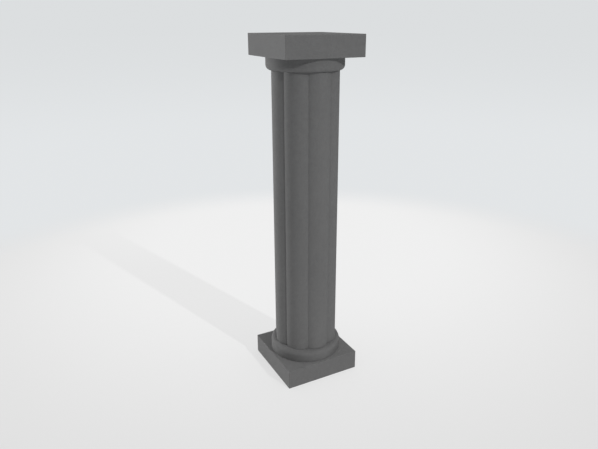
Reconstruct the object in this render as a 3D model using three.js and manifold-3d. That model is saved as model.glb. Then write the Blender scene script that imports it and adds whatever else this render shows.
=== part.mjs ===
// A plain stone column: a square plinth, a straight reeded shaft and a square abacus.
// Millimetres, +Z up. The origin is the centre of the plinth's underside, on the column's axis.
// It is built from three cut blocks, as a mason sets it: the base and the capital are each one
// block, a square slab with a round disc worked out of the same stone, and the shaft between
// them is a single length. The blocks stand on each other on thin beds.

import * as THREE from 'three';
import { mergeVertices } from 'three/addons/utils/BufferGeometryUtils.js';
import Module from 'manifold-3d';

const wasm = await Module();
wasm.setup();

// The base block, from the ground up: a square plinth, then a round disc.
const plinthSide = 600;
const plinthHeight = 150;
const baseDiscRadius = 277;
const baseDiscHeight = 91;
const baseDiscRound = 36;

// The shaft: rounded reeds that meet in sharp grooves, straight from end to end.
const shaftLength = 2107;
const shaftRadius = 246;
const grooveDepth = 18.7;
const reedCount = 8;

// The capital block, from the shaft up: a round disc, then a square abacus.
const capitalDiscRadius = 277;
const capitalDiscHeight = 91;
const capitalDiscRound = 36;
const abacusSide = 600;
const abacusHeight = 150;

// The dry bed between two blocks.
const bed = 0.3;

// How finely the round forms are drawn.
const discSegments = 112;
const roundSegments = 8;
const reedSegments = 16;
const samePoint = 1e-6;

// Heights that follow from the sizes above.
const baseTop = plinthHeight + baseDiscHeight;
const shaftFoot = baseTop + bed;
const shaftHead = shaftFoot + shaftLength;
const capitalFoot = shaftHead + bed;

const stone = new THREE.MeshStandardMaterial({ color: 0x666666, roughness: 0.7, metalness: 0 });

// A three.js geometry as a closed solid that can be joined to another.
function solidOf(geometry) {
  const shell = geometry.clone();
  shell.deleteAttribute('normal');
  shell.deleteAttribute('uv');
  const merged = mergeVertices(shell);
  const vertProperties = new Float32Array(merged.attributes.position.array);
  const triVerts = new Uint32Array(merged.index.array);
  return new wasm.Manifold(new wasm.Mesh({ numProp: 3, vertProperties, triVerts }));
}

// A joined solid as a three.js geometry.
function geometryOf(solid) {
  const mesh = solid.getMesh();
  const geometry = new THREE.BufferGeometry();
  geometry.setAttribute('position', new THREE.BufferAttribute(new Float32Array(mesh.vertProperties), 3));
  geometry.setIndex(new THREE.BufferAttribute(new Uint32Array(mesh.triVerts), 1));
  geometry.computeVertexNormals();
  return geometry;
}

function stoneMesh(name, geometry) {
  const mesh = new THREE.Mesh(geometry, stone);
  mesh.name = name;
  return mesh;
}

// A square slab on the axis, its underside at z = 0.
function slab(side, height) {
  return new THREE.BoxGeometry(side, side, height).translate(0, 0, height / 2);
}

// A round disc on the axis, its underside at z = 0: an upright edge that a quarter round turns
// in to the flat top. It reaches `sunk` below its underside, into the slab that it grows from.
function disc(radius, height, round, sunk) {
  const profile = new THREE.Path();
  profile.moveTo(0, -sunk);
  profile.lineTo(radius, -sunk);
  profile.lineTo(radius, height - round);
  profile.absarc(radius - round, height - round, round, 0, Math.PI / 2, false);
  profile.lineTo(0, height);
  const points = pathPoints(profile, roundSegments);
  return new THREE.LatheGeometry(points, discSegments).rotateX(Math.PI / 2);
}

// The corners of a path: the ends of its straight stretches, and each arc in equal steps. Where
// two stretches meet, the point is written once.
function pathPoints(path, arcSteps) {
  const points = path.curves.flatMap((curve) => curve.getPoints(curve.isLineCurve ? 1 : arcSteps));
  return points.filter((point, i) => i === 0 || point.distanceTo(points[i - 1]) > samePoint);
}

// One block of stone: a slab with its disc on top of it, its underside at z = 0.
function slabWithDisc(side, slabHeight, radius, discHeight, round) {
  const halfSlab = slabHeight / 2;
  const slabSolid = solidOf(slab(side, slabHeight));
  const discSolid = solidOf(disc(radius, discHeight, round, halfSlab).translate(0, 0, slabHeight));
  return geometryOf(slabSolid.add(discSolid));
}

// The section of the shaft. Each reed is an arc whose crest is at the shaft's radius and whose
// ends are in the grooves beside it. One reed faces the middle of each side of the plinth, and
// one each corner.
function reededOutline(radius, depth, count) {
  const grooveRadius = radius - depth;
  const halfReed = Math.PI / count;
  const grooveAlong = grooveRadius * Math.cos(halfReed);
  const grooveAside = grooveRadius * Math.sin(halfReed);
  // The arc through the crest and both grooves: its centre is on the line from axis to crest.
  const centreRadius = (radius ** 2 - grooveRadius ** 2) / (2 * (radius - grooveAlong));
  const arcRadius = radius - centreRadius;
  const arcHalfAngle = Math.atan2(grooveAside, grooveAlong - centreRadius);
  const outline = new THREE.Shape();
  for (let reed = 0; reed < count; reed++) {
    const middle = 2 * halfReed * reed;
    const x = centreRadius * Math.cos(middle);
    const y = centreRadius * Math.sin(middle);
    outline.absarc(x, y, arcRadius, middle - arcHalfAngle, middle + arcHalfAngle, false);
  }
  return outline;
}

function makeBase() {
  const block = slabWithDisc(plinthSide, plinthHeight, baseDiscRadius, baseDiscHeight, baseDiscRound);
  return stoneMesh('base', block);
}

function makeShaft() {
  const outline = reededOutline(shaftRadius, grooveDepth, reedCount);
  const section = new THREE.Shape(pathPoints(outline, reedSegments).slice(0, -1));
  const length = new THREE.ExtrudeGeometry(section, { depth: shaftLength, bevelEnabled: false, steps: 1 });
  const shaft = stoneMesh('shaft', length);
  shaft.position.z = shaftFoot;
  return shaft;
}

// The capital is cut as the base is, and set the other way up.
function makeCapital() {
  const height = capitalDiscHeight + abacusHeight;
  const block = slabWithDisc(abacusSide, abacusHeight, capitalDiscRadius, capitalDiscHeight, capitalDiscRound);
  const capital = stoneMesh('capital', block);
  capital.rotation.x = Math.PI;
  capital.position.z = capitalFoot + height;
  return capital;
}

const column = new THREE.Group();
column.name = 'column';
column.add(makeBase(), makeShaft(), makeCapital());

export default column;
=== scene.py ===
# %% [markdown]
# A reeded stone column
# The real object is three blocks of one dark grey stone: a base, a shaft and a capital. They
# could be boxes and cylinders joined by booleans, but those leave long thin faces that shade
# badly. Here each block is one closed skin over a stack of rings, because every level cut
# through such a column is a square, a circle or the same eight-lobed outline, and a ring is easy
# to write as a formula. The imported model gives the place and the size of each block, so nothing
# is placed by eye.

# %% Load the frame
import math

import bpy
import numpy as np
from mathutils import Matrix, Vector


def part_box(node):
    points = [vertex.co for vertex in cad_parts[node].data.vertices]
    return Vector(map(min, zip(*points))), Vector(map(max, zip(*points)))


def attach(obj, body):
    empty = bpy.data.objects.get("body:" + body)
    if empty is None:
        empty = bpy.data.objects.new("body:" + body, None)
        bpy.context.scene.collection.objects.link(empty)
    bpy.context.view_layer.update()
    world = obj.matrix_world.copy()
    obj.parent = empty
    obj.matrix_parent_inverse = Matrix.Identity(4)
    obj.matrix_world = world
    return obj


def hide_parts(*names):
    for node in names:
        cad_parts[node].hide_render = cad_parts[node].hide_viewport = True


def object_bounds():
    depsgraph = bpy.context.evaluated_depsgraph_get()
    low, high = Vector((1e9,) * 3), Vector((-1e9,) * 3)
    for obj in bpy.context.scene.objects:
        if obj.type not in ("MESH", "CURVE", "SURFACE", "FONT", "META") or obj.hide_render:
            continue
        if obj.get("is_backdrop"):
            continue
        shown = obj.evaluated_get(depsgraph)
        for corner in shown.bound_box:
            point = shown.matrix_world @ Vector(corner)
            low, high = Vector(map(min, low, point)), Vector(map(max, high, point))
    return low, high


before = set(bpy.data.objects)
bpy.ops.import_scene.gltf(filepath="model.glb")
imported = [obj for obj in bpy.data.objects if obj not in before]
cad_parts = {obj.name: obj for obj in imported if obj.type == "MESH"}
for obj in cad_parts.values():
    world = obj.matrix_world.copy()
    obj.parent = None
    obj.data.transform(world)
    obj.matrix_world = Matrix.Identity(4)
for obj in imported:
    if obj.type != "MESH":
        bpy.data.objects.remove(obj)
cad_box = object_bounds()
print("frame:", sorted(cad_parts), "box", [tuple(round(c, 4) for c in corner) for corner in cad_box])

# %% [markdown]
# Sizes
# A mason cuts to a drawing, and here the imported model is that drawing. All sizes could be typed
# in again, but then a change of the model would leave the skins behind, so the heights and the
# outer sizes are read from its boxes. What a box can't tell, such as how deep a groove is or how
# far the disc is rounded, is written here once, in metres.

# %% The blocks' sizes
base_low, base_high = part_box("base")
shaft_low, shaft_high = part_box("shaft")
capital_low, capital_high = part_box("capital")
slab_half = base_high.x
slab_height = 0.150
disc_radius = 0.277
disc_round = 0.036
block_height = base_high.z - base_low.z
shaft_radius = shaft_high.x
groove_depth = 0.0187
reed_count = 8
print("slab", round(2 * slab_half, 4), "block", round(block_height, 4), "shaft", round(2 * shaft_radius, 4))

# %% [markdown]
# A skin over rings
# A mason's block has no loose faces, so its mesh has none either. A curve could be spun or
# lofted instead, but arrays say exactly which point meets which, and go into the mesh in one
# call. The rings are stacked from the foot up, each with the same number of points, and are
# joined with quads. A fan closes the foot and the head at a pole. Smooth shading with sharp
# edges by angle keeps the arrises crisp.

# %% From rings to a mesh
SHARP_ANGLE = math.radians(32)


def skin(name, rings, foot_pole, head_pole):
    """A closed mesh object. Ring i meets ring i + 1 in quads, point k beside point k + 1, and
    the first and the last ring are closed by triangles to a pole."""
    count, around = rings.shape[:2]
    points = np.concatenate([rings.reshape(-1, 3), [foot_pole, head_pole]])
    here = np.arange(around)
    beside = np.roll(here, -1)
    low = around * np.arange(count - 1)[:, None]
    high = low + around
    walls = np.stack([low + here, low + beside, high + beside, high + here], axis=-1)
    last = around * (count - 1)
    foot = np.stack([beside, here, np.full(around, count * around)], axis=-1)
    head = np.stack([last + here, last + beside, np.full(around, count * around + 1)], axis=-1)
    corners = np.concatenate([walls.ravel(), foot.ravel(), head.ravel()])
    sizes = np.repeat([4, 3], [walls.shape[0] * around, 2 * around])
    mesh = bpy.data.meshes.new(name)
    mesh.vertices.add(len(points))
    mesh.vertices.foreach_set("co", points.astype(np.float32).ravel())
    mesh.loops.add(len(corners))
    mesh.loops.foreach_set("vertex_index", corners.astype(np.int32))
    mesh.polygons.add(len(sizes))
    mesh.polygons.foreach_set("loop_start", (np.cumsum(sizes) - sizes).astype(np.int32))
    mesh.update(calc_edges=True)
    mesh.validate()
    mesh.shade_smooth()
    mesh.set_sharp_from_angle(angle=SHARP_ANGLE)
    piece = bpy.data.objects.new(name, mesh)
    bpy.context.scene.collection.objects.link(piece)
    triangles = 2 * walls.shape[0] * around + 2 * around
    print(name, "skin:", len(points), "points,", triangles, "triangles")
    return piece


# %% [markdown]
# Quarter rounds
# A profile is a list of stations, each a distance out from the axis and a height. The eased
# arrises and the rounded edge of the disc are both quarter rounds, so one function gives them. A
# Bevel modifier could ease the arrises too, but on a known profile the ease is only a few more
# stations. A straight stretch gets a station close beside each end. Without it, smooth shading
# would bend the light over the whole of a flat face.

# %% Stations of a profile
HOLD = 0.0012


def quarter(steps):
    """The cosine and sine of equal steps from 0 to a quarter turn."""
    turn = np.linspace(0, math.pi / 2, steps + 1)
    return np.cos(turn), np.sin(turn)


def stretch(first, last, steps):
    """Stations from first to last, both left out, with one at HOLD from each end."""
    first, last = np.array(first, float), np.array(last, float)
    length = np.linalg.norm(last - first)
    share = np.concatenate([[HOLD / length], np.linspace(0, 1, steps + 2)[1:-1], [1 - HOLD / length]])
    return first + (last - first) * share[:, None]


print("a flat face is flat from", 1000 * HOLD, "mm inside its ends")

# %% [markdown]
# The outlines around the axis
# The slab is a square with barely rounded corners, and the disc is a circle. A boolean would
# join the two with slivers across the slab's top. Here both have the same number of points in
# the same order, starting at the corner between the sides that face -Y and +X, so the flat top
# can run straight from one to the other.

# %% Square and circle
SIDE_STEPS = 80
CORNER_STEPS = 12
AROUND = 4 * (SIDE_STEPS + CORNER_STEPS)
CORNER_EASE = 0.004


def square(half, ease):
    """Points round a square of half side `half`: along each side, then round its corner on an
    arc of radius `ease`."""
    reach = half - ease
    along = np.concatenate([[-reach], np.linspace(HOLD - reach, reach - HOLD, SIDE_STEPS - 1)])
    cos, sin = quarter(CORNER_STEPS)
    x = np.concatenate([np.full(SIDE_STEPS, half), reach + ease * cos[:-1]])
    y = np.concatenate([along, reach + ease * sin[:-1]])
    sides = [np.stack([x, y], -1), np.stack([-y, x], -1), np.stack([-x, -y], -1), np.stack([y, -x], -1)]
    return np.concatenate(sides)


def circle(radius):
    """Points round a circle, in the order of square's: the radius times the cosine and the sine
    of equal steps of a full turn."""
    turn = 2 * math.pi * (np.arange(AROUND) - SIDE_STEPS / 2) / AROUND
    return radius * np.stack([np.cos(turn), np.sin(turn)], -1)


def at_height(outline, z):
    """An outline in the plane as a ring at a height."""
    return np.column_stack([outline, np.full(len(outline), z)])


print("points round a block:", AROUND)

# %% [markdown]
# One block: slab and disc
# On the real column the disc is worked out of the same block as its slab. Two meshes pushed
# into each other would look the same, but would hide faces inside the stone, so both are one
# skin. From the underside up: the bed, an eased arris, the side, an eased arris, the flat top of
# the slab, then the upright edge of the disc, its quarter round and the bed under the shaft.

# %% The block's rings
ARRIS = 0.0025
ARRIS_STEPS = 4
SLAB_STEPS = 8
EDGE_STEPS = 4
ROUND_STEPS = 18
BED_STEPS = 5
BED_MIDDLE = 0.1
BED_SHARES = (0.25, 0.6, 0.9)
TOP_SHARES = (0.03, 0.2, 0.4, 0.6, 0.8, 0.97, 1.0)


def slab_rings():
    """The slab: square rings, drawn in by an eased arris at the foot and at the head."""
    cos, sin = quarter(ARRIS_STEPS)
    inner = square(slab_half - ARRIS, CORNER_EASE - ARRIS)
    rings = [at_height(share * inner, 0.0) for share in BED_SHARES]
    foot = [(slab_half - ARRIS * (1 - s), ARRIS * (1 - c)) for c, s in zip(cos, sin)]
    side = stretch((slab_half, ARRIS), (slab_half, slab_height - ARRIS), SLAB_STEPS)
    head = [(slab_half - ARRIS * (1 - c), slab_height - ARRIS * (1 - s)) for c, s in zip(cos, sin)]
    for half, z in [*foot, *side, *head]:
        rings.append(at_height(square(half, CORNER_EASE - (slab_half - half)), z))
    return rings


def slab_top_rings():
    """The flat top of the slab: each point runs straight from the square arris to the circle
    where the disc stands, and has a ring at each of TOP_SHARES of its way."""
    arris = square(slab_half - ARRIS, CORNER_EASE - ARRIS)
    way = circle(disc_radius) - arris
    return [at_height(arris + share * way, slab_height) for share in TOP_SHARES]


def disc_rings():
    """The disc: circles up its edge, round its quarter round and in over its bed, down to
    BED_MIDDLE of the bed's radius."""
    cos, sin = quarter(ROUND_STEPS)
    edge = stretch((disc_radius, slab_height), (disc_radius, block_height - disc_round), EDGE_STEPS)
    inner = disc_radius - disc_round
    rounding = [(inner + disc_round * c, block_height - disc_round * (1 - s)) for c, s in zip(cos, sin)]
    bed = stretch((inner, block_height), (BED_MIDDLE * inner, block_height), BED_STEPS)
    return [at_height(circle(radius), z) for radius, z in [*edge, *rounding, *bed]]


def block_rings():
    """All rings of a block that stands on its slab, its underside at height 0."""
    return np.array(slab_rings() + slab_top_rings() + disc_rings())


def turned_over(rings):
    """The block the other way up, with its disc below: half a turn about the X axis."""
    return rings * [1, -1, -1]


print("rings in a block:", len(block_rings()))

# %% [markdown]
# The shaft
# Eight rounded reeds meet in sharp grooves. Eight cylinders round a core would look like that
# too, with most of their faces hidden in the stone. One outline hides none. Each reed is an arc
# of a circle whose centre stands off the axis. Seen from the axis, at an angle d from the middle
# of the reed, that arc is at c cos d + sqrt(r² - c² sin² d), where c is how far out its centre
# is and r is its radius. An arc drawn in by an ease keeps its centre, so the grooves stay sharp
# to the ends.

# %% The shaft's rings
REED_STEPS = 48
SHAFT_EASE = 0.0018
SHAFT_STEPS = 72


def reeded(drawn_in):
    """Points round the reeded outline, in equal steps of a full turn. Each is out from the axis
    by c cos d + sqrt(r² - c² sin² d), with r less by the distance that the arc is drawn in."""
    half_reed = math.pi / reed_count
    groove = shaft_radius - groove_depth
    away = (shaft_radius**2 - groove**2) / (2 * (shaft_radius - groove * math.cos(half_reed)))
    arc = shaft_radius - away - drawn_in
    turn = 2 * math.pi * np.arange(reed_count * REED_STEPS) / (reed_count * REED_STEPS)
    aside = (turn + half_reed) % (2 * half_reed) - half_reed
    out = away * np.cos(aside) + np.sqrt(arc**2 - (away * np.sin(aside)) ** 2)
    return out[:, None] * np.stack([np.cos(turn), np.sin(turn)], -1)


def shaft_rings():
    """The shaft from its lower bed to its upper bed, its arrises eased."""
    cos, sin = quarter(ARRIS_STEPS)
    low, high = shaft_low.z, shaft_high.z
    foot = [(SHAFT_EASE * (1 - s), low + SHAFT_EASE * (1 - c)) for c, s in zip(cos, sin)]
    side = stretch((0.0, low + SHAFT_EASE), (0.0, high - SHAFT_EASE), SHAFT_STEPS)
    head = [(SHAFT_EASE * (1 - c), high - SHAFT_EASE * (1 - s)) for c, s in zip(cos, sin)]
    end = reeded(SHAFT_EASE)
    rings = [at_height(share * end, low) for share in BED_SHARES]
    rings += [at_height(reeded(drawn_in), z) for drawn_in, z in [*foot, *side, *head]]
    rings += [at_height(share * end, high) for share in reversed(BED_SHARES)]
    return np.array(rings)


print("rings in the shaft:", len(shaft_rings()))

# %% [markdown]
# Worked by hand
# A face rubbed by hand is never a perfect plane. A bump in the finish could fake that, but only
# a moved surface shows at the outline too. Each skin is let in by less than a quarter of a
# millimetre, along its own normals, by a sum of slow waves. It only ever goes inwards, so a
# block never grows past its true size, and it is too little to see but for the way that light
# slides over the stone.

# %% Dress a surface
DRESSING = 0.00025
WAVES = 14
LONGEST_WAVE, SHORTEST_WAVE = 0.5, 0.06


def slow_waves(points, seed):
    """A smooth height from 0 to 1: sine waves with random directions and phases, the longest
    of them the highest."""
    random = np.random.default_rng(seed)
    headings = random.normal(size=(WAVES, 3))
    headings /= np.linalg.norm(headings, axis=1)[:, None]
    lengths = np.geomspace(LONGEST_WAVE, SHORTEST_WAVE, WAVES)
    phases = random.uniform(0, 2 * math.pi, WAVES)
    swell = np.sin(points @ (headings / lengths[:, None]).T * 2 * math.pi + phases)
    return 0.5 + 0.5 * swell @ (lengths / lengths.sum())


def dress(piece, seed):
    """Moves each point inwards along its normal, by DRESSING times the height of the waves."""
    vertices = piece.data.vertices
    places = np.empty(3 * len(vertices), np.float32)
    normals = np.empty_like(places)
    vertices.foreach_get("co", places)
    vertices.foreach_get("normal", normals)
    places = places.reshape(-1, 3)
    depth = DRESSING * slow_waves(places, seed)
    places -= normals.reshape(-1, 3) * depth[:, None]
    vertices.foreach_set("co", places.ravel())
    piece.data.update()
    print(piece.name, "dressed by", round(1000 * float(depth.max()), 3), "mm at most")


# %% [markdown]
# Set the blocks
# The base stands on the ground, the shaft on the base, and the capital is a second such block
# with its slab up. A mirrored copy would do, but a mirror turns the faces inside out, so the
# rings get half a turn. They and the points round each are then taken in the reverse order, so
# that they run from the foot up, and the same way round, as the base's do. The poles are the
# middles of the beds.

# %% Base, shaft and capital
FIRST_SEED = 11

up = np.array([0.0, 0.0, 1.0])
base_skin = block_rings() + up * base_low.z
base = skin("stone_base", base_skin, up * base_low.z, up * base_high.z)
shaft = skin("stone_shaft", shaft_rings(), up * shaft_low.z, up * shaft_high.z)
capital_skin = turned_over(block_rings())[::-1, ::-1] + up * capital_high.z
capital = skin("stone_capital", capital_skin, up * capital_low.z, up * capital_high.z)
for seed, piece in enumerate((base, shaft, capital), start=FIRST_SEED):
    dress(piece, seed)

# %% [markdown]
# Sums with sockets
# A stone is many layers of noise added up, which is a long row of nodes if they are set one by
# one. This small class wraps a socket, so that a sum such as 1 - mask adds its own Math node.
# Colours go through Mix nodes, because a Math node would turn them grey.

# %% The socket class


class Socket:
    """An output of a node tree. With no output yet, it only adds nodes to the tree."""

    def __init__(self, tree, output=None):
        self.tree = tree
        self.output = output

    def node(self, kind, settings=None, sockets=None, out=0):
        """Adds a node: its settings are set first, then its sockets, by name or identifier, to
        a value or a link. Gives the output called `out`."""
        made = self.tree.nodes.new(kind)
        for key, value in (settings or {}).items():
            setattr(made, key, value)
        for key, value in (sockets or {}).items():
            target = next(s for s in made.inputs if key in (s.identifier, s.name))
            if isinstance(value, Socket):
                self.tree.links.new(value.output, target)
            else:
                target.default_value = value
        if isinstance(out, str):
            return Socket(self.tree, next(s for s in made.outputs if out in (s.identifier, s.name)))
        return Socket(self.tree, made.outputs[out] if len(made.outputs) else None)

    def also(self, out):
        """Another output of the node that this output belongs to."""
        return Socket(self.tree, next(s for s in self.output.node.outputs if out in (s.identifier, s.name)))

    def math(self, operation, *values):
        """A Math node on one or two values."""
        names = ("Value", "Value_001")
        return self.node("ShaderNodeMath", {"operation": operation}, dict(zip(names, values)))

    def __add__(self, other):
        return self.math("ADD", self, other)

    def __radd__(self, other):
        return self.math("ADD", other, self)

    def __sub__(self, other):
        return self.math("SUBTRACT", self, other)

    def __rsub__(self, other):
        return self.math("SUBTRACT", other, self)

    def __mul__(self, other):
        return self.math("MULTIPLY", self, other)

    def __rmul__(self, other):
        return self.math("MULTIPLY", other, self)

    def __truediv__(self, other):
        return self.math("DIVIDE", self, other)

    def __rtruediv__(self, other):
        return self.math("DIVIDE", other, self)

    def __abs__(self):
        return self.math("ABSOLUTE", self)

    def rise(self, low, high):
        """0 below low, 1 above high, and a soft step between. With low above high it falls."""
        return self.node(
            "ShaderNodeMapRange",
            {"interpolation_type": "SMOOTHSTEP"},
            {"Value": self, "From Min": low, "From Max": high},
        )

    def distance(self, point):
        """How far this place is from a point."""
        sockets = {"Vector": self, "Vector_001": point}
        return self.node("ShaderNodeVectorMath", {"operation": "DISTANCE"}, sockets, out="Value")

    def noise(self, size, detail=2.0):
        """Cloudy noise around 0, about -0.5 to 0.5, whose lumps are about `size` metres."""
        sockets = {"Vector": self, "Scale": 1 / size, "Detail": detail}
        return self.node("ShaderNodeTexNoise", {}, sockets) - 0.5

    def blend(self, first, second, kind="MIX"):
        """A colour that goes from first to second as this value goes from 0 to 1. With the kind
        ADD, this share of the second colour is added to the first."""
        settings = {"data_type": "RGBA", "blend_type": kind}
        sockets = {"Factor_Float": self, "A_Color": first, "B_Color": second}
        return self.node("ShaderNodeMix", settings, sockets, out="Result_Color")


# %% [markdown]
# The stone
# It is a dark, neutral, fine-grained stone, rubbed to a honed face that has no polish. From a
# few steps away it looks almost plain. Closer, it has slow clouds where the bed of the stone
# changes, a mottle of a few centimetres, a tight mosaic of crystals of a millimetre or two, and
# in it scattered pale and dark grains and a few pin-sized pores. A picture of stone could be
# wrapped round the blocks, but it would show seams at the arrises. Here all of it is solid noise
# in the block's own place, so it runs through the stone and round its corners as real grain does.

# %% Crystals
FINE_SIZE, COARSE_SIZE = 0.0012, 0.0026
RAGGED_SIZE, RAGGED_REACH, RAGGED_DETAIL = 0.0013, 0.0016, 1.0


def ragged(place, size, reach):
    """The place moved aside by up to `reach`, by a noise of that size, so that the crystals
    drawn there get uneven borders."""
    sockets = {"Vector": place, "Scale": 1 / size, "Detail": RAGGED_DETAIL}
    stir = place.node("ShaderNodeTexNoise", {}, sockets, out="Color")
    sockets = {"Vector": stir, "Vector_001": (reach, reach, reach), "Vector_002": place}
    return place.node("ShaderNodeVectorMath", {"operation": "MULTIPLY_ADD"}, sockets)


def crystals(place, size):
    """A mosaic of crystals of about `size`, each with its own lightness from -0.5 to 0.5."""
    sockets = {"Vector": place, "Scale": 1 / size}
    own = place.node("ShaderNodeTexVoronoi", {}, sockets, out="Color")
    return place.node("ShaderNodeSeparateColor", {}, {"Color": own}) - 0.5


print("crystals of about", 1000 * FINE_SIZE, "and", 1000 * COARSE_SIZE, "mm")

# %% [markdown]
# Grains and pores
# A few crystals stand out from the mosaic, and a few pits are left where one broke away. The
# peaks of a noise could stand for them, but those hang together in chains. Here they are single
# points strewn through the stone. Each point draws lots: one for whether it is there at all, one
# for its size, and one for how strongly it shows.

# %% Strewn points
FELDSPAR = dict(spacing=0.0034, share=0.22, radius=0.0009)
HORNBLENDE = dict(spacing=0.0030, share=0.26, radius=0.0009)
PORE = dict(spacing=0.0090, share=0.14, radius=0.0008)
LEAST_SIZE = 0.5
LEAST_STRENGTH = 0.4
SOFT_EDGE = 0.5


def strewn(place, spacing, share, radius):
    """Soft spots: one point in each cell of about `spacing`, of which a random `share` is kept.
    A spot's own radius is the radius times LEAST_SIZE to LEAST_SIZE + 1."""
    sockets = {"Vector": place, "Scale": 1 / spacing}
    apart = place.node("ShaderNodeTexVoronoi", {}, sockets, out="Distance")
    lot = place.node("ShaderNodeSeparateColor", {}, {"Color": apart.also("Color")})
    own_radius = radius * (LEAST_SIZE + lot.also("Green"))
    own_strength = LEAST_STRENGTH + (1 - LEAST_STRENGTH) * lot.also("Blue")
    there = lot.math("LESS_THAN", lot, share)
    return there * own_strength * (apart * spacing).rise(own_radius, SOFT_EDGE * own_radius)


print("a spot has", LEAST_SIZE, "to", LEAST_SIZE + 1, "times its kind's radius")

# %% [markdown]
# Where it wears, with painted highlight and shade
# The arrises of a slab are a little paler and smoother, because they are knocked and rubbed, and
# their paleness is also a painted highlight, as of light caught on an eased arris. The grooves of
# the shaft are a little darker, from dust that gathers there and from painted shade, and rougher,
# because no rubbing stone reaches into them. The Pointiness of the mesh could find both, but only
# as finely as its points lie. These masks are worked out from the place on the block, so they are
# as fine as the render.

# %% Masks for arris and groove
# How far in from an arris it is paler: wear, and a painted highlight.
ARRIS_WEAR_AND_HIGHLIGHT = 0.007
GROOVE_WIDTH = 0.010


def slab_arris(place, foot, head):
    """1 on the slab's edges, 0 inside its faces. An edge is near two faces at once, so the mask
    falls with the middle one of three distances: to the nearer side, to the other side, and to
    the nearer of top and bottom."""
    x, y, z = (place.node("ShaderNodeSeparateXYZ", {}, {"Vector": place}, out=axis) for axis in "XYZ")
    beside = slab_half - abs(x)
    across = slab_half - abs(y)
    level = x.math("MINIMUM", abs(z - foot), abs(z - head))
    nearer = x.math("MINIMUM", beside, across)
    further = x.math("MAXIMUM", beside, across)
    above_nearer = x.math("MAXIMUM", nearer, level)
    below_nearer = x.math("MINIMUM", nearer, level)
    middle = x.math("MAXIMUM", below_nearer, x.math("MINIMUM", further, above_nearer))
    return middle.rise(ARRIS_WEAR_AND_HIGHLIGHT, 0.0)


def shaft_groove(place):
    """1 in the grooves, 0 on the reeds. The angle round the axis, counted in reeds, has its
    crests at whole numbers and its grooves half way between them."""
    x, y = (place.node("ShaderNodeSeparateXYZ", {}, {"Vector": place}, out=axis) for axis in "XY")
    one_reed = 2 * math.pi / reed_count
    reeds = x.math("ARCTAN2", y, x) / one_reed
    off_groove = abs(x.math("FRACT", reeds) - 0.5) * (one_reed * shaft_radius)
    return off_groove.rise(GROOVE_WIDTH, 0.0)


print("arrises wear over", 1000 * ARRIS_WEAR_AND_HIGHLIGHT, "mm, grooves over", 1000 * GROOVE_WIDTH, "mm")

# %% [markdown]
# The tone of the stone
# Clouds and mottle lift and lower the stone's grey slowly, and the two sizes of crystal break it
# up. Each layer could be a colour laid over the last, but then each would hide some of the one
# below. So lightness is one number, a sum of layers around 0.5, which stands for the stone's own
# grey, and the colour is looked up between half that grey and one and a half times it. Only the
# grains and pores are laid over it, because they do hide what is below: pale feldspar with a
# trace of warmth, dark hornblende, and pits.

# %% Layers and colours
STONE_GREY = 0.154
DARKEST, PALEST = 0.5, 1.5
CLOUD_SIZE, CLOUD_TONE = 0.40, 0.13
MOTTLE_SIZE, MOTTLE_DETAIL, MOTTLE_TONE = 0.038, 3.0, 0.14
FINE_TONE, COARSE_TONE = 0.50, 0.14
FELDSPAR_TONE, FELDSPAR_WARMTH, FELDSPAR_COVER = 2.1, 0.03, 0.6
HORNBLENDE_TONE, HORNBLENDE_COVER = 0.35, 0.7
PORE_TONE, PORE_COVER = 0.25, 0.9


def grey(value, warmth=0.0):
    """A grey as a colour: warmth lifts red and lowers blue by that share."""
    return (value * (1 + warmth), value, value * (1 - warmth), 1.0)


def stone_colour(lightness, feldspar, hornblende, pore):
    """The stone's grey by its lightness, with the grains and the pores laid over it."""
    colour = lightness.blend(grey(DARKEST * STONE_GREY), grey(PALEST * STONE_GREY))
    colour = (FELDSPAR_COVER * feldspar).blend(colour, grey(FELDSPAR_TONE * STONE_GREY, FELDSPAR_WARMTH))
    colour = (HORNBLENDE_COVER * hornblende).blend(colour, grey(HORNBLENDE_TONE * STONE_GREY))
    return (PORE_COVER * pore).blend(colour, grey(PORE_TONE * STONE_GREY))


print("stone grey", STONE_GREY, "times", DARKEST, "to", PALEST)

# %% [markdown]
# One finish, three blocks
# The blocks come from one quarry face, but not from one place in it. One material for all three
# would let the pattern run on across the beds, as if the column were a single stone, so each
# block has the pattern moved to another spot, and the capital is a hair lighter. A honed face is
# dull, with almost no shine, and its bump is only the relief of the crystals and the pits.

# %% The stone finish
HONED, MOTTLE_ROUGH, FINE_ROUGH, PORE_ROUGH = 0.78, 0.10, 0.10, 0.10
# Arrises: paler by wear and by a painted highlight, and smoother where they are rubbed.
EDGE_WEAR_AND_HIGHLIGHT, EDGE_ROUGH = 0.04, -0.04
# Grooves: darker by dust and by painted shade, and rougher where no rubbing reaches.
GROOVE_DUST_AND_SHADE, HOLLOW_ROUGH = -0.03, 0.10
FINE_RELIEF, COARSE_RELIEF, PORE_RELIEF = 0.4, 0.3, -1.5
RELIEF = {"Strength": 0.35, "Distance": 0.0004}
SHINE = {"IOR": 1.5, "Specular IOR Level": 0.1}


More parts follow.
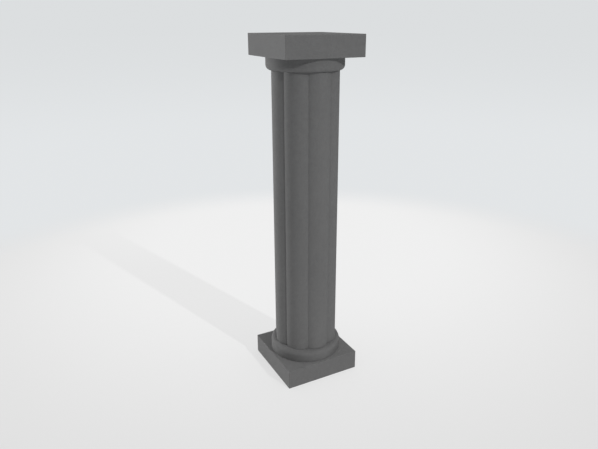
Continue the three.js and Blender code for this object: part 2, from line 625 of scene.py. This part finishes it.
def honed_stone(name, offset, tone, edge_wear_and_highlight_mask=None, groove_dust_and_shade_mask=None):
    """The finish of a block: the pattern starts at an offset, and the tone is around 1."""
    material = bpy.data.materials.new(name)
    material.use_nodes = True
    tree = material.node_tree
    tree.nodes.clear()
    root = Socket(tree)
    own = root.node("ShaderNodeTexCoord", out="Object")
    place = root.node("ShaderNodeMapping", {}, {"Vector": own, "Location": offset})
    uneven = ragged(place, RAGGED_SIZE, RAGGED_REACH)
    mottle = place.noise(MOTTLE_SIZE, MOTTLE_DETAIL)
    fine = crystals(uneven, FINE_SIZE)
    coarse = crystals(uneven, COARSE_SIZE)
    pore = strewn(uneven, **PORE)
    lightness = 0.5 * tone + CLOUD_TONE * place.noise(CLOUD_SIZE) + MOTTLE_TONE * mottle
    lightness = lightness + FINE_TONE * fine + COARSE_TONE * coarse
    roughness = HONED + MOTTLE_ROUGH * mottle + FINE_ROUGH * fine + PORE_ROUGH * pore
    if edge_wear_and_highlight_mask:
        # Paler arrises: wear, and a painted highlight as of light caught on the eased arris.
        edge = edge_wear_and_highlight_mask(own)
        lightness = lightness + EDGE_WEAR_AND_HIGHLIGHT * edge
        roughness = roughness + EDGE_ROUGH * edge
    if groove_dust_and_shade_mask:
        # Darker grooves: dust that gathers there, and painted shade in the hollows.
        groove_dust_and_shade = groove_dust_and_shade_mask(own)
        lightness = lightness + GROOVE_DUST_AND_SHADE * groove_dust_and_shade
        roughness = roughness + HOLLOW_ROUGH * groove_dust_and_shade
    colour = stone_colour(lightness, strewn(uneven, **FELDSPAR), strewn(uneven, **HORNBLENDE), pore)
    height = FINE_RELIEF * fine + COARSE_RELIEF * coarse + PORE_RELIEF * pore
    bump = root.node("ShaderNodeBump", {}, {"Height": height, **RELIEF})
    sockets = {"Base Color": colour, "Roughness": roughness, "Normal": bump, **SHINE}
    surface = root.node("ShaderNodeBsdfPrincipled", {}, sockets)
    root.node("ShaderNodeOutputMaterial", {}, {"Surface": surface})
    print(name, "has", len(tree.nodes), "nodes")
    return material


def foot_slab(place):
    """The plinth's arrises."""
    return slab_arris(place, base_low.z, base_low.z + slab_height)


def head_slab(place):
    """The abacus's arrises."""
    return slab_arris(place, capital_high.z - slab_height, capital_high.z)


# %% Finish the blocks and give them to the frame
BASE_STONE = dict(offset=(0.7, 0.2, 0.4), tone=1.00, edge_wear_and_highlight_mask=foot_slab)
SHAFT_STONE = dict(offset=(3.1, 1.4, 2.2), tone=1.00, groove_dust_and_shade_mask=shaft_groove)
CAPITAL_STONE = dict(offset=(5.6, 4.2, 3.9), tone=1.01, edge_wear_and_highlight_mask=head_slab)

base.data.materials.append(honed_stone("honed_stone_base", **BASE_STONE))
shaft.data.materials.append(honed_stone("honed_stone_shaft", **SHAFT_STONE))
capital.data.materials.append(honed_stone("honed_stone_capital", **CAPITAL_STONE))
for piece, node in ((base, "base"), (shaft, "shaft"), (capital, "capital")):
    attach(piece, "root")
    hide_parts(node)

# %% [markdown]
# The floor
# The column stands alone on a pale studio floor, in a round pool of brighter light with a soft
# rim. A spot lamp could throw the pool, but it would light the column too. So the pool is painted
# light: most of the floor's brightness is its own glow, as of a lit sheet, and shadows on it stay
# faint. Towards the rim painted glow takes over from the light that falls on the floor, and the
# shadow fades out. Outside the pool the floor only glows, and it meets the room in one tone, with
# no horizon.

# %% A round floor with a painted pool of light
FLOOR_RADIUS = 90.0
FLOOR_MIDDLE = 0.1
FLOOR_RINGS = 24
FLOOR_AROUND = 96
FLOOR_THICK = 0.05
POOL_RADIUS = 4.5
POOL_RIM = 0.6
FLOOR_DIFFUSE = 0.30
FLOOR_ROUGH = 0.9
# The light that the lit floor sends back, without its glow: painted in as glow where the shadow fades out.
PAINTED_FLOOR_RETURN = 0.276
SHADE_NEAR, SHADE_FAR = 2.0, 4.4
# The painted pool of light: the floor's own glow inside the pool.
PAINTED_POOL_GLOW = 0.592
GLOW_FADE = 0.14
GLOW_MIDDLE = (1.1, 2.3, 0.0)
GLOW_EVEN, GLOW_FAR = 1.5, 5.0
ROOM_NEAR = (0.765, 0.785, 0.799, 1.0)
ROOM_FAR = (0.716, 0.735, 0.745, 1.0)
ROOM_START = 10.0


def floor_rings():
    """A thin round sheet: one circle below, then circles at height 0 that narrow by equal ratios
    from FLOOR_RADIUS to FLOOR_MIDDLE."""
    turn = 2 * math.pi * np.arange(FLOOR_AROUND) / FLOOR_AROUND
    ring = np.stack([np.cos(turn), np.sin(turn)], -1)
    spans = np.geomspace(FLOOR_RADIUS, FLOOR_MIDDLE, FLOOR_RINGS)
    top = [at_height(span * ring, 0.0) for span in spans]
    return np.array([at_height(FLOOR_RADIUS * ring, -FLOOR_THICK), *top])


def floor_finish():
    """Pale grey with a painted pool of light, which glows. Round GLOW_MIDDLE, which is behind the
    column, the painted glow of the pool is even, and further out it falls off softly, by GLOW_FADE.
    Towards the rim the light that the floor sends back is painted in as glow, so that its shadow
    fades out. Outside the pool, from ROOM_START on, it eases to the far tone of the room by one over
    the distance, because that is how a floor narrows in a picture."""
    material = bpy.data.materials.new("studio_floor")
    material.use_nodes = True
    tree = material.node_tree
    tree.nodes.clear()
    root = Socket(tree)
    place = root.node("ShaderNodeTexCoord", out="Object")
    away = place.distance((0.0, 0.0, 0.0))
    off = place.distance(GLOW_MIDDLE)
    # Painted light: the pool's glow, even round GLOW_MIDDLE and dimmer further out.
    pool = off.rise(GLOW_EVEN, GLOW_FAR).blend(grey(PAINTED_POOL_GLOW), grey(PAINTED_POOL_GLOW - GLOW_FADE))
    # Painted light: from SHADE_NEAR to SHADE_FAR the light that the floor sends back is painted in as glow
    # and taken out of its base colour, so that the shadow fades.
    painted_return_share = away.rise(SHADE_NEAR, SHADE_FAR)
    pool = painted_return_share.blend(pool, grey(PAINTED_FLOOR_RETURN), kind="ADD")
    room_tone = (ROOM_START / away).rise(0.0, 1.0).blend(ROOM_FAR, ROOM_NEAR)
    outside = away.rise(POOL_RADIUS - POOL_RIM, POOL_RADIUS + POOL_RIM)
    surface = root.node(
        "ShaderNodeBsdfPrincipled",
        {},
        {
            "Base Color": painted_return_share.blend(grey(FLOOR_DIFFUSE), grey(0.0)),
            "Roughness": FLOOR_ROUGH,
            "Specular IOR Level": 0.0,
            "Emission Color": outside.blend(pool, room_tone),
            "Emission Strength": 1.0,
        },
    )
    root.node("ShaderNodeOutputMaterial", {}, {"Surface": surface})
    return material


floor = skin("studio_floor", floor_rings(), -FLOOR_THICK * up, 0 * up)
floor.data.materials.append(floor_finish())
floor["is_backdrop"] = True

# %% [markdown]
# Studio light
# A key stands to the right of the camera, at the height that throws the shadow of the abacus on
# to the disc below it, and it is so narrow that the edge of its shadow on the floor stays clean.
# A broad, low fill comes from behind on the left and brightens that side. It casts no shadow, so
# that the floor has one shadow only. Both could be area lamps, but a sun lamp is as strong at
# the foot of a tall column as at its head. The room itself is dim round the sides and brighter
# overhead, as under a softbox.

# %% Key, fill and room
KEY = dict(azimuth=16.4, elevation=31.5, strength=1.15, width=1.2, shadow=True)
FILL = dict(azimuth=-148.3, elevation=10.0, strength=2.19, width=14.0, shadow=False)
ROOM_SIDES = 0.105
ROOM_OVERHEAD = 1.26


def sun(name, azimuth, elevation, strength, width, shadow):
    """A far light. At azimuth 0 it shines from -Y, and at 90 from +X."""
    light = bpy.data.lights.new(name, "SUN")
    light.energy = strength
    light.angle = math.radians(width)
    light.use_shadow = shadow
    lamp = bpy.data.objects.new(name, light)
    lamp.rotation_euler = (math.radians(90 - elevation), 0, math.radians(azimuth))
    bpy.context.scene.collection.objects.link(lamp)
    print(name, "light from azimuth", azimuth, "elevation", elevation, "strength", strength)


def room():
    """A world whose light grows with the cube of how far up a ray points. The camera sees it as
    the far tone of the floor, so that the two meet unseen."""
    world = bpy.data.worlds.new("studio_room")
    world.use_nodes = True
    tree = world.node_tree
    tree.nodes.clear()
    root = Socket(tree)
    way = root.node("ShaderNodeTexCoord", out="Generated")
    height = root.node("ShaderNodeSeparateXYZ", {}, {"Vector": way}, out="Z")
    overhead = height.math("MAXIMUM", height, 0.0)
    overhead = overhead * overhead * overhead
    light = overhead.blend(grey(ROOM_SIDES), grey(ROOM_SIDES + ROOM_OVERHEAD))
    seen = root.node("ShaderNodeLightPath", out="Is Camera Ray")
    shown = seen.blend(light, ROOM_FAR)
    background = root.node("ShaderNodeBackground", {}, {"Color": shown, "Strength": 1.0})
    root.node("ShaderNodeOutputWorld", {}, {"Surface": background})
    bpy.context.scene.world = world


sun("key", **KEY)
sun("fill", **FILL)
room()

# %% [markdown]
# The camera
# It looks slightly down on the column from the left of its front. It could be aimed by hand
# until the picture looks right, but the corners of both slabs fix it far more closely, so its
# place, tilt and lens were worked out from them. The small shift is there because the picture
# isn't centred on the camera's axis.

# %% The picture's view
CAMERA_AZIMUTH, CAMERA_TILT = -28.259, 19.2225
CAMERA_AWAY, CAMERA_HEIGHT = 3.99075, 2.69007
PICTURE_WIDTH, PICTURE_HEIGHT = 598, 449
FOCAL_PIXELS = 556.404
AXIS_X, AXIS_Y = 305.207, 211.697

lens = bpy.data.cameras.new("camera")
lens.sensor_fit = "HORIZONTAL"
lens.sensor_width = 36.0
lens.lens = lens.sensor_width * FOCAL_PIXELS / PICTURE_WIDTH
lens.shift_x = (PICTURE_WIDTH / 2 - AXIS_X) / PICTURE_WIDTH
lens.shift_y = (AXIS_Y - PICTURE_HEIGHT / 2) / PICTURE_WIDTH
lens.clip_end = 4 * FLOOR_RADIUS
camera = bpy.data.objects.new("camera", lens)
aside = math.radians(CAMERA_AZIMUTH)
camera.location = (CAMERA_AWAY * math.sin(aside), -CAMERA_AWAY * math.cos(aside), CAMERA_HEIGHT)
camera.rotation_euler = (math.radians(90 - CAMERA_TILT), 0, aside)
bpy.context.scene.collection.objects.link(camera)
bpy.context.scene.camera = camera
bpy.context.scene.view_settings.view_transform = "Standard"
print("lens", round(lens.lens, 3), "shift", round(lens.shift_x, 5), round(lens.shift_y, 5))

# %% [markdown]
# Compare and finish
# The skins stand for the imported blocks, so they may not reach outside them. Ease and dressing
# only take stone away, and the gap between the two boxes shows by how much.

# %% Compare the boxes and finish
visual_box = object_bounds()
gaps_below = [ours - packed for ours, packed in zip(visual_box[0], cad_box[0])]
gaps_above = [packed - ours for ours, packed in zip(visual_box[1], cad_box[1])]
print("mm inside the packed box:", [round(1000 * gap, 3) for gap in gaps_below + gaps_above])
